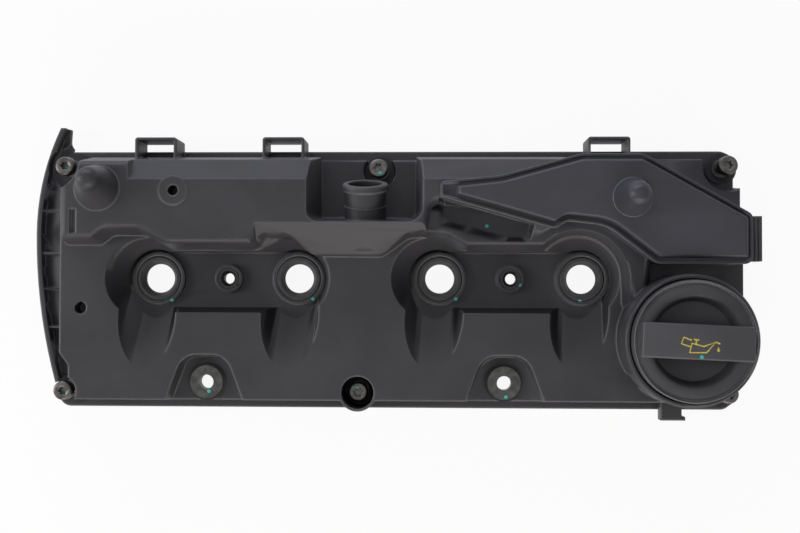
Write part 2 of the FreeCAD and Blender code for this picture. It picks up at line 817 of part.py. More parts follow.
def separator_baffle():
    """Tray under the ceiling of the chamber, where oil drops out of the breather gas."""
    right = baffle_left + baffle_length
    back = baffle_front + baffle_width
    middle = baffle_front + baffle_width / 2
    low = chamber_top - wall - baffle_depth
    high = chamber_top - wall
    solid = box(baffle_left, baffle_front, low, right, back, high)
    inside = box(
        baffle_left + baffle_wall, baffle_front + baffle_wall, low + baffle_wall,
        right - baffle_wall, back - baffle_wall, high + 1)
    solid = solid.cut(inside)
    pitch = baffle_length / (baffle_plates + 1)
    for i in range(baffle_plates):
        x = baffle_left + (i + 1) * pitch - baffle_wall / 2
        y = baffle_front if i % 2 else baffle_front + baffle_opening
        plate = box(x, y, low, x + baffle_wall, y + baffle_width - baffle_opening, high - 1.0)
        solid = solid.fuse(plate)
    drain = cylinder(baffle_drain, low - 1, low + 4, right - pitch / 2, middle)
    outlet = box(right - 2 * baffle_wall, middle - 3.0, high - 9.0, right + 1, middle + 3.0, high + 1)
    return solid.cut([drain, outlet])


def oil_cap():
    """Filler cap: dished top, grip bar, and a hollow plug with two locking lugs."""
    seat = collar_seat + cap_seal_height
    rim = cap_radius - 1.2
    shell = turned([
        (0.0, seat + 4.0), (cap_pocket_radius - 1.2, seat + 4.0), (cap_pocket_radius, cap_rim_top - 2.2),
        (rim - 1.6, cap_rim_top - 0.4), (rim - 0.4, cap_rim_top), (rim + 0.6, cap_rim_top - 0.4),
        (cap_radius, cap_rim_top - 2.0), (cap_radius, seat), (neck_bore - running_gap, seat),
        (neck_bore - running_gap, plug_bottom), (neck_bore - 3.4, plug_bottom),
        (neck_bore - 3.4, seat + 1.4), (0.0, seat + 1.4),
    ])
    half_length = grip_length / 2
    half_width = grip_width / 2
    bar_corners = [
        (-half_length, -half_width, 1.5), (half_length, -half_width, 1.5),
        (half_length, half_width, 1.5), (-half_length, half_width, 1.5),
    ]
    bar = crowned(bar_corners, seat + 3.0, grip_top, 1.0, 0.0, 1.2)
    bar = bar.common(cylinder(cap_radius - 1.4, seat, grip_top + 1))
    lugs = lug_ring(plug_bottom, plug_bottom + lug_height, lug_reach, lug_angle)
    core = cylinder(neck_bore - 2.0, plug_bottom - 1, plug_bottom + lug_height + 1)
    cap = shell.multiFuse([bar, lugs.cut(core)])
    cap.rotate(point(0, 0), point(0, 0, 1), cap_rest_angle)
    return cap.translated(point(filler_x, filler_y))


def cap_seal():
    inner = neck_bore + 4.6
    return turned([
        (inner, collar_seat), (inner + 4.0, collar_seat),
        (inner + 4.0, collar_seat + cap_seal_height), (inner, collar_seat + cap_seal_height),
    ], filler_x, filler_y)


def injector_seal(x):
    """Lipped rubber seal that grips the injector body."""
    low = injector_seal_seat
    outer = injector_seal_radius - press_gap
    top = pit_floor + boss_rise + 0.4
    return turned([
        (outer, low), (outer, top - 0.8), (outer - 0.8, top), (11.4, top),
        (injector_hole_radius, low + 4.0), (injector_hole_radius, low + 3.0), (11.8, low + 3.0),
        (11.8, low),
    ], x, 0)


def clamp_seal(x):
    """Small rubber seal round the bolt that clamps two injectors."""
    low = clamp_seal_seat
    outer = clamp_seal_radius - press_gap
    top = pit_floor + boss_rise + 0.3
    return turned([
        (outer, low), (outer, top), (5.0, top), (clamp_hole_radius, top - 2.4),
        (clamp_hole_radius, low),
    ], x, 0)


def cover_bolt(place):
    """Captive flange bolt, lifted in its sleeve as it is when the cover lies on a bench."""
    head = sleeve_seat + bolt_lift
    top = head + bolt_head_height
    return turned([
        (0.0, bolt_tip_gap), (bolt_radius - 0.7, bolt_tip_gap), (bolt_radius, bolt_tip_gap + 0.7),
        (bolt_radius, head), (bolt_head_radius, head), (bolt_head_radius, top - 1.0),
        (bolt_head_radius - 1.0, top), (bolt_socket_radius, top), (bolt_socket_radius, top - 3.2),
        (0.0, top - 3.2),
    ], *place)


def sleeve(place, seat, bore, washer_radius, low):
    """Steel sleeve with a rolled washer face, which limits how far the rubber is squeezed."""
    outer = bore + sleeve_wall
    under = seat + grommet_flange
    return turned([
        (bore, low), (outer, low), (outer, under), (washer_radius, under),
        (washer_radius, under + sleeve_washer), (bore, under + sleeve_washer),
    ], *place)


def grommet(place, seat, panel, bore, neck_radius, flange_radius, foot_radius):
    """Rubber bush gripped by the panel, which keeps engine noise out of the cover."""
    inner = bore + sleeve_wall + press_gap
    return turned([
        (inner, seat - panel - grommet_foot), (foot_radius, seat - panel - grommet_foot),
        (foot_radius, seat - panel), (neck_radius, seat - panel), (neck_radius, seat),
        (flange_radius, seat), (flange_radius, seat + grommet_flange), (inner, seat + grommet_flange),
    ], *place)


def build():
    """Every node by name."""
    nodes = {
        "cover_body": cover_body(),
        "rail_gasket": rail_gasket(),
        "separator_lid": separator_lid(),
        "separator_baffle": separator_baffle(),
        "oil_cap": oil_cap(),
        "oil_cap_seal": cap_seal(),
    }
    for i, x in enumerate(injector_x):
        nodes[f"injector_seal_{i + 1}"] = injector_seal(x)
    for i, x in enumerate(clamp_x):
        nodes[f"clamp_seal_{i + 1}"] = clamp_seal(x)
    names = ("front_left", "front_right", "back_left", "back_right", "front_middle", "back_middle")
    shank_bore = bolt_radius + shank_gap
    for name, place in zip(names, all_bolts()):
        nodes[f"cover_bolt_{name}"] = cover_bolt(place)
        nodes[f"bolt_sleeve_{name}"] = sleeve(place, flange_top, shank_bore, sleeve_washer_radius, sleeve_bottom)
        nodes[f"bolt_grommet_{name}"] = grommet(
            place, flange_top, ear_panel, shank_bore, grommet_neck_radius, grommet_flange_radius,
            grommet_foot_radius)
    for name, x in zip(("left", "right"), sleeve_hole_x):
        place = (x, sleeve_hole_y)
        low = sleeve_recess_floor - wall - grommet_foot
        nodes[f"open_sleeve_{name}"] = sleeve(
            place, sleeve_recess_floor, free_sleeve_bore, free_washer_radius, low)
        nodes[f"open_grommet_{name}"] = grommet(
            place, sleeve_recess_floor, wall, free_sleeve_bore, free_neck_radius, free_flange_radius,
            free_foot_radius)
    return nodes


nodes = build()
extent = nodes["cover_body"].optimalBoundingBox(False, False)
for name, shape in nodes.items():
    placed = shape.translated(point(-extent.Center.x, -extent.Center.y))
    placed.exportStep(f"parts/{name}.step")
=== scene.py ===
# %% [markdown]
# # A moulded engine valve cover
# The real cover is one large black plastic moulding with a welded lid, an oil filler cap, rubber seals
# and captive bolts. The imported CAD model is the fixed frame, in metres, with Z up and the sealing plane
# at zero. It is loaded first.

# %% Load the frame
import bpy
import math
from mathutils import Euler, Matrix, Vector


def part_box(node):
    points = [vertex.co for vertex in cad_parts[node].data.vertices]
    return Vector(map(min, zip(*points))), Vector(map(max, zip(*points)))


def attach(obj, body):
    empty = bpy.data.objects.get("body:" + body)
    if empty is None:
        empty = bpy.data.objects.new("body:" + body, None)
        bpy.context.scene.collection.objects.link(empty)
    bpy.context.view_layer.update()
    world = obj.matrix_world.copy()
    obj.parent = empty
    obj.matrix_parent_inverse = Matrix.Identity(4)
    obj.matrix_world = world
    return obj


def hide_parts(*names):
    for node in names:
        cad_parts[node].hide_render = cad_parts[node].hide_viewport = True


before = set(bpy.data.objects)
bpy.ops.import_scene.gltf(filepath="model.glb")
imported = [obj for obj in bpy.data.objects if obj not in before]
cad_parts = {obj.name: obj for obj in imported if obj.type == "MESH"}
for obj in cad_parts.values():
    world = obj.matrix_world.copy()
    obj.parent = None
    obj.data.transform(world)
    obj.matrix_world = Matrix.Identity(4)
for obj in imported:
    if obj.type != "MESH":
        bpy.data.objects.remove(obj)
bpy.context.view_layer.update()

mm = 0.001

# %% [markdown]
# ## Finding the injector row
# Places on this cover are easiest to give from the middle of the injector row, as a maker's drawing
# does. The frame's own origin is the middle of the whole box, so the row is found from the first and
# last seal, and one small function turns a drawing place into a frame place.

# %% Places from the injector row
def middle(node):
    low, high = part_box(node)
    return (Vector(low) + Vector(high)) / 2


row_middle = (middle("injector_seal_1") + middle("injector_seal_4")) / 2


def place(x, y, z=0.0):
    return Vector((row_middle.x + x * mm, row_middle.y + y * mm, z * mm))


print("row middle:", [round(v, 5) for v in row_middle])

# %% [markdown]
# ## The camera
# The photograph was taken from straight above, from about seven tenths of a metre. A lens of 50 mm on a
# sensor of 36 mm and a tilt of a degree or two give the same outline. Depth of field stays off.

# %% Camera
camera_place = place(41.754, -8.140, 714.155)
camera_turn = Euler((0.0229399, 0.0324200, 0.0028036))
picture_width, picture_height = 800, 533

camera_data = bpy.data.cameras.new("camera")
camera_data.lens = 50
camera_data.sensor_width = 36
camera = bpy.data.objects.new("camera", camera_data)
camera.location = camera_place
camera.rotation_euler = camera_turn
bpy.context.scene.collection.objects.link(camera)
bpy.context.scene.camera = camera
pixels_per_lens = picture_width * camera_data.lens / camera_data.sensor_width
bpy.context.view_layer.update()


def sight(px, py):
    """Direction from the camera through a pixel of the picture."""
    local = Vector((px - picture_width / 2, picture_height / 2 - py, -pixels_per_lens))
    return (camera.matrix_world.to_3x3() @ local).normalized()


print("camera at", [round(v, 4) for v in camera.location])

# %% [markdown]
# ## Small helpers for modelling by hand
# Every operator works on what is selected, and the loaded nodes are selected at first. So each piece
# starts by clearing the selection. A finished piece keeps its place in its mesh, with the object itself
# at the origin, as the CAD nodes do: that keeps patterns in object space from sliding.

# %% Selection and finishing helpers
def only(piece):
    if bpy.context.object and bpy.context.object.mode != "OBJECT":
        bpy.ops.object.mode_set(mode="OBJECT")
    bpy.ops.object.select_all(action="DESELECT")
    piece.select_set(True)
    bpy.context.view_layer.objects.active = piece


def clear_selection(piece, kind):
    """Clears the selection in a mesh, and sets whether faces or edges are selected next."""
    only(piece)
    bpy.ops.object.mode_set(mode="EDIT")
    bpy.ops.mesh.select_mode(type=kind)
    bpy.ops.mesh.select_all(action="DESELECT")
    bpy.ops.object.mode_set(mode="OBJECT")


def settle(piece, name):
    """Names the piece and moves its place into its mesh."""
    only(piece)
    piece.name = name
    piece.data.name = name
    bpy.ops.object.transform_apply(location=True, rotation=True, scale=True)
    return piece


def finish(piece, material, body, angle=35):
    """Gives a piece its material, its body and smooth shading below an angle."""
    piece.data.materials.clear()
    piece.data.materials.append(material)
    only(piece)
    bpy.ops.object.shade_smooth_by_angle(angle=math.radians(angle))
    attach(piece, body)
    return piece


# %% [markdown]
# ## Black moulded plastic
# Filled nylon isn't one flat black. The mould gives it a fine grain, and the fibres leave cloudy lighter
# and darker areas. A thin painted highlight lightens the colour along the edges. The grain is a bump
# from fine noise, the clouds are a slow noise in the colour and the gloss, and the painted highlight on
# the edges comes from comparing a rounded normal with the true one.

# %% Material helpers
def add(nodes, kind, **values):
    node = nodes.new(kind)
    for name, value in values.items():
        setattr(node, name, value)
    return node


def new_material(name):
    """A node material, with its nodes, links, main shader and object coordinates."""
    material = bpy.data.materials.new(name)
    material.use_nodes = True
    nodes, links = material.node_tree.nodes, material.node_tree.links
    return material, nodes, links, nodes["Principled BSDF"], add(nodes, "ShaderNodeTexCoord")


def noise(nodes, links, coords, scale, detail):
    node = add(nodes, "ShaderNodeTexNoise")
    node.inputs["Scale"].default_value = scale
    node.inputs["Detail"].default_value = detail
    links.new(coords.outputs["Object"], node.inputs["Vector"])
    return node.outputs["Fac"]


def spread(nodes, links, value, given, wanted):
    """Maps a value from a given range to a wanted one."""
    node = add(nodes, "ShaderNodeMapRange")
    for name, end in zip(("From Min", "From Max", "To Min", "To Max"), given + wanted):
        node.inputs[name].default_value = end
    links.new(value, node.inputs["Value"])
    return node.outputs["Result"]


def blend_colours(nodes, links, factor, low, high):
    mix = add(nodes, "ShaderNodeMix", data_type="RGBA")
    mix.inputs["A"].default_value = (*low, 1)
    mix.inputs["B"].default_value = (*high, 1)
    links.new(factor, mix.inputs["Factor"])
    return mix.outputs["Result"]


def raise_skin(nodes, links, shader, height, strength, depth, under=None):
    """Raises the surface by a height value, over the normal beneath it."""
    bump = add(nodes, "ShaderNodeBump")
    bump.inputs["Strength"].default_value = strength
    bump.inputs["Distance"].default_value = depth
    links.new(height, bump.inputs["Height"])
    if under:
        links.new(under, bump.inputs["Normal"])
    links.new(bump.outputs["Normal"], shader.inputs["Normal"])


print("material helpers ready")

# %% Moulded plastic
def moulded(name, dark, light, edge, gloss, grain_size, grain_depth, edge_width):
    material, nodes, links, shader, coords = new_material(name)
    clouds = noise(nodes, links, coords, scale=28.0, detail=4.0)
    cloud_level = spread(nodes, links, clouds, (0.35, 0.65), (0.0, 1.0))
    base = blend_colours(nodes, links, cloud_level, dark, light)

    rounded = add(nodes, "ShaderNodeBevel", samples=6)
    rounded.inputs["Radius"].default_value = edge_width
    true_normal = add(nodes, "ShaderNodeNewGeometry")
    likeness = add(nodes, "ShaderNodeVectorMath", operation="DOT_PRODUCT")
    links.new(rounded.outputs["Normal"], likeness.inputs[0])
    links.new(true_normal.outputs["Normal"], likeness.inputs[1])
    # Painted highlight: the colour is mixed towards the light edge colour where the rounded normal leaves
    # the true one.
    painted_highlight = spread(nodes, links, likeness.outputs["Value"], (0.995, 0.86), (0.0, 0.8))
    wear_and_edge_highlight = add(nodes, "ShaderNodeMix", data_type="RGBA")
    wear_and_edge_highlight.inputs["B"].default_value = (*edge, 1)
    links.new(base, wear_and_edge_highlight.inputs["A"])
    links.new(painted_highlight, wear_and_edge_highlight.inputs["Factor"])
    links.new(wear_and_edge_highlight.outputs["Result"], shader.inputs["Base Color"])

    rough = spread(nodes, links, clouds, (0.3, 0.7), (gloss - 0.04, gloss + 0.05))
    links.new(rough, shader.inputs["Roughness"])
    shader.inputs["Specular IOR Level"].default_value = 0.25
    grain = noise(nodes, links, coords, scale=1.0 / grain_size, detail=2.0)
    raise_skin(nodes, links, shader, grain, strength=0.35, depth=grain_depth,
               under=rounded.outputs["Normal"])
    return material


# Each plastic's edge colour is the colour of its painted highlight along the edges.
cover_black = moulded(
    "grained black nylon", dark=(0.030, 0.0293, 0.0325), light=(0.040, 0.039, 0.0432),
    edge=(0.15, 0.146, 0.15), gloss=0.46, grain_size=0.45 * mm, grain_depth=0.05 * mm, edge_width=2.0 * mm)
# The lid's colour is a little lighter and bluer than the cover's: a painted sheen of the light from above
# on its top panels.
lid_black = moulded(
    "smooth black nylon", dark=(0.036, 0.036, 0.043), light=(0.046, 0.046, 0.055),
    edge=(0.20, 0.20, 0.215), gloss=0.42, grain_size=0.40 * mm, grain_depth=0.03 * mm, edge_width=1.1 * mm)
cap_black = moulded(
    "satin black cap", dark=(0.046, 0.045, 0.049), light=(0.062, 0.061, 0.065),
    edge=(0.30, 0.30, 0.30), gloss=0.42, grain_size=0.38 * mm, grain_depth=0.04 * mm, edge_width=0.9 * mm)
# The grip is the cap's plastic painted lighter: a painted sheen on its flat top.
grip_black = moulded(
    "cap grip painted lighter", dark=(0.052, 0.051, 0.056), light=(0.070, 0.068, 0.074),
    edge=(0.30, 0.29, 0.30), gloss=0.40, grain_size=0.38 * mm, grain_depth=0.04 * mm, edge_width=1.0 * mm)
# The baffle's plastic is painted darker than the cover's, as painted shade inside the cover.
inside_painted_shade = moulded(
    "black inside with painted shade", dark=(0.012, 0.012, 0.013), light=(0.018, 0.018, 0.019),
    edge=(0.04, 0.04, 0.04), gloss=0.55, grain_size=0.60 * mm, grain_depth=0.04 * mm, edge_width=0.6 * mm)
for plastic in (cover_black, lid_black, cap_black, grip_black, inside_painted_shade):
    print("plastic:", plastic.name)

# %% [markdown]
# ## Rubber
# The bushes and seals are black rubber: duller than the plastic, with a soft sheen at grazing angles
# and a trace of pale bloom. The same helpers give the noise, and the bloom is a second colour that
# comes through in patches.

# %% Rubber
def rubber(name, dark, bloom, gloss, shine):
    material, nodes, links, shader, coords = new_material(name)
    patches = noise(nodes, links, coords, scale=220.0, detail=5.0)
    level = spread(nodes, links, patches, (0.48, 0.72), (0.0, 1.0))
    links.new(blend_colours(nodes, links, level, dark, bloom), shader.inputs["Base Color"])
    rough = spread(nodes, links, patches, (0.3, 0.7), (gloss - 0.05, gloss + 0.08))
    links.new(rough, shader.inputs["Roughness"])
    shader.inputs["Specular IOR Level"].default_value = shine
    shader.inputs["Sheen Weight"].default_value = shine / 4
    shader.inputs["Sheen Roughness"].default_value = 0.4
    skin = noise(nodes, links, coords, scale=1900.0, detail=2.0)
    raise_skin(nodes, links, shader, skin, strength=0.3, depth=0.04 * mm)
    return material


bush_black = rubber(
    "black bush rubber", dark=(0.026, 0.025, 0.028), bloom=(0.040, 0.039, 0.042), gloss=0.6, shine=0.2)
seal_grey = rubber(
    "grey seal rubber", dark=(0.032, 0.031, 0.034), bloom=(0.055, 0.054, 0.058), gloss=0.5, shine=0.3)
gasket_black = rubber(
    "black gasket rubber", dark=(0.012, 0.012, 0.012), bloom=(0.026, 0.026, 0.027), gloss=0.5, shine=0.3)
print("rubbers:", bush_black.name, seal_grey.name, gasket_black.name)

# %% [markdown]
# ## Zinc-plated steel
# The sleeves and bolts are plated steel. Plating is a dull metal with a fine crystal speckle and small
# stains, so the metal's colour and roughness both follow noise. The sleeves are darker than the bolts.

# %% Plated steel
def plated(name, dark, light, gloss):
    material, nodes, links, shader, coords = new_material(name)
    shader.inputs["Metallic"].default_value = 1.0
    stains = noise(nodes, links, coords, scale=260.0, detail=5.0)
    level = spread(nodes, links, stains, (0.35, 0.68), (0.0, 1.0))
    links.new(blend_colours(nodes, links, level, dark, light), shader.inputs["Base Color"])
    speckle = noise(nodes, links, coords, scale=2600.0, detail=2.0)
    rough = spread(nodes, links, speckle, (0.3, 0.7), (gloss - 0.08, gloss + 0.1))
    links.new(rough, shader.inputs["Roughness"])
    raise_skin(nodes, links, shader, speckle, strength=0.25, depth=0.02 * mm)
    return material


sleeve_zinc = plated(
    "dark plated sleeve", dark=(0.045, 0.045, 0.043), light=(0.075, 0.075, 0.071), gloss=0.45)
bolt_zinc = plated(
    "grey plated bolt", dark=(0.055, 0.052, 0.050), light=(0.11, 0.104, 0.10), gloss=0.38)
print("metals:", sleeve_zinc.name, bolt_zinc.name)

# %% [markdown]
# ## Dressing the moulded parts
# The CAD nodes have the right shape, but their triangles are loose, so round walls would show as flats.
# A copy of each is merged, and the triangles that lie in one plane are dissolved into one face. Smooth
# shading below an angle with normals weighted by face area then keeps the broad faces flat and the
# round ones round. The copy stands for the node.

# %% Merged copies of the nodes
merge_distance = 0.002 * mm
flat_angle = math.radians(0.08)


def dressed(node, material, body="cover", angle=33):
    piece = bpy.data.objects.new(node + "_dressed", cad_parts[node].data.copy())
    bpy.context.scene.collection.objects.link(piece)
    only(piece)
    bpy.ops.object.mode_set(mode="EDIT")
    bpy.ops.mesh.select_all(action="SELECT")
    bpy.ops.mesh.remove_doubles(threshold=merge_distance)
    bpy.ops.mesh.dissolve_limited(angle_limit=flat_angle)
    bpy.ops.object.mode_set(mode="OBJECT")
    finish(piece, material, body, angle)
    weights = piece.modifiers.new("weights", "WEIGHTED_NORMAL")
    weights.keep_sharp = True
    weights.weight = 50
    bpy.ops.object.modifier_apply(modifier="weights")
    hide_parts(node)
    return piece


cover = dressed("cover_body", cover_black)
dressed("separator_lid", lid_black)
dressed("separator_baffle", inside_painted_shade)
dressed("rail_gasket", gasket_black)
dressed("oil_cap_seal", bush_black, "filler_cap")
print("cover faces:", len(cover.data.polygons))

# %% Seals, bushes and sleeves
corner_names = ("front_left", "front_right", "back_left", "back_right")
bolt_names = corner_names + ("front_middle", "back_middle")
for i in (1, 2, 3, 4):
    dressed(f"injector_seal_{i}", seal_grey)
for i in (1, 2):
    dressed(f"clamp_seal_{i}", seal_grey)
for name in bolt_names:
    dressed(f"bolt_grommet_{name}", bush_black)
    dressed(f"bolt_sleeve_{name}", sleeve_zinc)
for side in ("left", "right"):
    dressed(f"open_grommet_{side}", bush_black)
    dressed(f"open_sleeve_{side}", sleeve_zinc)
print("small parts dressed")

# %% [markdown]
# ## The filler cap
# The cap is turned: one profile of radius and height, carried round by a Screw modifier, gives the
# dished pocket, the domed ring with its bead and the hollow plug. The grip is a block with bevelled
# edges, and each locking lug is cut from a short cylinder by three planes. All are turned by two and a
# half degrees, as the cap stands in the picture. The grip's colour is painted a little lighter than the
# rest, as painted sheen on the grip.

# %% Turned body of the cap
def drawn_line(name, points):
    """A mesh line through (radius, height) points in millimetres, beside the upright axis."""
    curve = bpy.data.curves.new(name, "CURVE")
    curve.dimensions = "3D"
    spline = curve.splines.new("POLY")
    spline.points.add(len(points) - 1)
    for point, (radius, height) in zip(spline.points, points):
        point.co = (radius * mm, 0, height * mm, 1)
    piece = bpy.data.objects.new(name, curve)
    bpy.context.scene.collection.objects.link(piece)
    only(piece)
    bpy.ops.object.convert(target="MESH")
    return bpy.context.object


dish = [(0.0, 67.0), (22.0, 67.0), (23.0, 67.3), (23.7, 68.1), (24.1, 69.4), (24.5, 72.0), (25.0, 74.2)]
ring = [(25.8, 75.4), (27.0, 76.0), (29.0, 76.2), (31.5, 75.9), (33.2, 75.4), (33.9, 75.3)]
bead = [(34.2, 76.1), (34.6, 76.5), (35.0, 76.4), (35.3, 76.0), (35.4, 75.4)]
skirt = [(35.4, 63.4), (35.0, 63.0), (24.3, 63.0)]
plug = [(24.3, 50.4), (23.9, 50.0), (21.3, 50.0), (21.3, 64.4), (0.0, 64.4)]

cap_body = drawn_line("cap_body", dish + ring + bead + skirt + plug)
lathe = cap_body.modifiers.new("lathe", "SCREW")
lathe.steps = 96
lathe.render_steps = 96
lathe.use_merge_vertices = True
lathe.merge_threshold = 0.01 * mm
bpy.ops.object.modifier_apply(modifier="lathe")
bpy.ops.object.mode_set(mode="EDIT")
bpy.ops.mesh.select_all(action="SELECT")
bpy.ops.mesh.normals_make_consistent(inside=False)
bpy.ops.object.mode_set(mode="OBJECT")
print("cap body faces:", len(cap_body.data.polygons))

# %% Grip of the cap
grip_size = (63.4 * mm, 20.0 * mm, 18.0 * mm)
grip_middle, grip_edge = 75.0 * mm, 1.3 * mm

bpy.ops.object.select_all(action="DESELECT")
bpy.ops.mesh.primitive_cube_add(size=1.0, location=(0, 0, grip_middle))
grip = bpy.context.object
grip.scale = grip_size
bpy.ops.object.transform_apply(location=True, rotation=True, scale=True)
bpy.ops.object.mode_set(mode="EDIT")
bpy.ops.mesh.select_all(action="SELECT")
bpy.ops.mesh.bevel(offset=grip_edge, segments=4)
bpy.ops.object.mode_set(mode="OBJECT")
print("grip faces:", len(grip.data.polygons))

# %% Locking lugs
lug_radius, lug_inner = 27.4 * mm, 22.5 * mm
lug_height, lug_middle = 3.4 * mm, 51.7 * mm
lug_half_angle = math.radians(20.0)
across, along = math.cos(lug_half_angle), math.sin(lug_half_angle)
lug_cuts = [(lug_inner, (0, -1, 0)), (0, (across, -along, 0)), (0, (-across, -along, 0))]

lugs = []
for turn in (0.0, math.pi):
    bpy.ops.object.select_all(action="DESELECT")
    bpy.ops.mesh.primitive_cylinder_add(
        vertices=96, radius=lug_radius, depth=lug_height, location=(0, 0, lug_middle))
    lug = bpy.context.object
    bpy.ops.object.transform_apply(location=True, rotation=True, scale=True)
    bpy.ops.object.mode_set(mode="EDIT")
    for y, outward in lug_cuts:
        bpy.ops.mesh.select_all(action="SELECT")
        bpy.ops.mesh.bisect(plane_co=(0, y, 0), plane_no=outward, use_fill=True, clear_outer=True)
    bpy.ops.object.mode_set(mode="OBJECT")
    lug.rotation_euler = (0, 0, turn)
    bpy.ops.object.transform_apply(location=True, rotation=True, scale=True)
    lugs.append(lug)
print("lugs:", len(lugs))

# %% Cap in its place
only(cap_body)
for lug in lugs:
    lug.select_set(True)
bpy.ops.object.join()
cap_place, cap_turn = place(189.8, -36.0), math.radians(-2.5)
cap_pieces = {"filler_cap_turned": (cap_body, cap_black), "filler_cap_grip": (grip, grip_black)}
for name, (piece, material) in cap_pieces.items():
    piece.location = cap_place
    piece.rotation_euler = (0, 0, cap_turn)
    settle(piece, name)
    finish(piece, material, "filler_cap", angle=30)
    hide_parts("oil_cap")
print("cap faces:", len(cap_body.data.polygons))

# %% [markdown]
# ## A ring round the breather tube
# A thin moulded ring runs round the tube, a little below its rim, and parts the smooth mouth from the
# root.

# %% Tube ring
tube_tilt = math.radians(16.0)
tube_axis = Vector((0, math.cos(tube_tilt), math.sin(tube_tilt)))
tube_mouth = place(-1.0, 57.0, 48.0)
ring_below_mouth, ring_radius, ring_thickness = 13.5 * mm, 12.35 * mm, 0.55 * mm

bpy.ops.object.select_all(action="DESELECT")
bpy.ops.mesh.primitive_torus_add(
    location=tube_mouth - tube_axis * ring_below_mouth,
    rotation=tube_axis.to_track_quat("Z", "Y").to_euler(),
    major_segments=72, minor_segments=10, major_radius=ring_radius, minor_radius=ring_thickness)
tube_ring = settle(bpy.context.object, "tube_ring")
finish(tube_ring, cover_black, "cover", angle=60)
print("tube ring faces:", len(tube_ring.data.polygons))

# %% [markdown]
# ## The captive bolt
# The bolt has a round head with a rounded rim, a six-lobed socket, a plain shank and a rolled thread
# at its lower end. The head starts as a cylinder whose top is inset and pushed down, and the socket's
# points between the lobes are drawn in. The thread is one small ridge carried round by a Screw
# modifier. One bolt is made, then copied to the other five places.

# %% Bolt head
def head_of(node):
    low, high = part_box(node)
    return (low[0] + high[0]) / 2, (low[1] + high[1]) / 2, low[2], high[2]


bolt_x, bolt_y, bolt_tip, bolt_top = head_of("cover_bolt_front_left")
head_radius, head_height, head_round = 6.0 * mm, 5.5 * mm, 1.6 * mm
rim_width, dish_depth = 1.9 * mm, 0.25 * mm
socket_radius, socket_depth, socket_chamfer = 2.75 * mm, 2.8 * mm, 0.35 * mm
near = 0.01 * mm

bpy.ops.object.select_all(action="DESELECT")
bpy.ops.mesh.primitive_cylinder_add(
    vertices=48, radius=head_radius, depth=head_height,
    location=(bolt_x, bolt_y, bolt_top - head_height / 2))
head = bpy.context.object
clear_selection(head, "FACE")
for face in head.data.polygons:
    face.select = face.normal.z > 0.9
bpy.ops.object.mode_set(mode="EDIT")
bpy.ops.mesh.inset(thickness=rim_width)
bpy.ops.mesh.inset(thickness=head_radius - rim_width - socket_radius - socket_chamfer)
bpy.ops.transform.translate(value=(0, 0, -dish_depth))
bpy.ops.mesh.inset(thickness=socket_chamfer)
bpy.ops.transform.translate(value=(0, 0, -socket_chamfer))
bpy.ops.mesh.extrude_region_move(TRANSFORM_OT_translate={"value": (0, 0, -socket_depth)})
bpy.ops.object.mode_set(mode="OBJECT")
settle(head, "bolt_head")
print("bolt head:", len(head.data.polygons), "faces")

# %% Socket lobes and rim
def draw_in(piece, centre_x, centre_y, radius, factor, lobes=6):
    """Moves the points near one radius towards the axis, between the lobes."""
    band = 0.12 * mm
    moved = 0
    for vertex in piece.data.vertices:
        dx, dy = vertex.co.x - centre_x, vertex.co.y - centre_y
        if abs(math.hypot(dx, dy) - radius) > band:
            continue
        wave = 0.5 + 0.5 * math.cos(lobes * math.atan2(dy, dx))
        pull = 1 - factor * (1 - wave)
        vertex.co.x = centre_x + dx * pull
        vertex.co.y = centre_y + dy * pull
        moved += 1
    return moved


moved = draw_in(head, bolt_x, bolt_y, socket_radius, factor=0.24)
clear_selection(head, "EDGE")
for edge in head.data.edges:
    ends = [head.data.vertices[i].co for i in edge.vertices]
    on_rim = all(abs(math.hypot(p.x - bolt_x, p.y - bolt_y) - head_radius) < near for p in ends)
    level = abs(ends[0].z - ends[1].z) < near
    edge.select = on_rim and level and ends[0].z > bolt_top - 0.1 * mm
bpy.ops.object.mode_set(mode="EDIT")
bpy.ops.mesh.bevel(offset=head_round, segments=5)
bpy.ops.object.mode_set(mode="OBJECT")
print("socket points drawn in:", moved)

# %% Shank
shank_radius, root_share, tip_share = 3.0 * mm, 0.86, 0.8
thread_length, thread_pitch = 15.0 * mm, 1.0 * mm
shank_high, thread_high = bolt_top - head_height, bolt_tip + thread_length

bpy.ops.object.select_all(action="DESELECT")
bpy.ops.mesh.primitive_cylinder_add(
    vertices=48, radius=shank_radius * root_share, depth=shank_high - bolt_tip,
    location=(bolt_x, bolt_y, (shank_high + bolt_tip) / 2))
core = settle(bpy.context.object, "bolt_core")
bpy.ops.object.mode_set(mode="EDIT")
bpy.ops.mesh.bisect(plane_co=(0, 0, thread_high), plane_no=(0, 0, 1), use_fill=False)
bpy.ops.mesh.select_all(action="DESELECT")
bpy.ops.object.mode_set(mode="OBJECT")


def widen(vertex, share):
    """Moves a point of the shank away from the axis or towards it, by a share of its distance."""
    vertex.co.x = bolt_x + (vertex.co.x - bolt_x) * share
    vertex.co.y = bolt_y + (vertex.co.y - bolt_y) * share


for vertex in core.data.vertices:
    if vertex.co.z > thread_high - near:
        widen(vertex, 1 / root_share)
    if vertex.co.z < bolt_tip + near:
        widen(vertex, tip_share)
print("shank faces:", len(core.data.polygons))

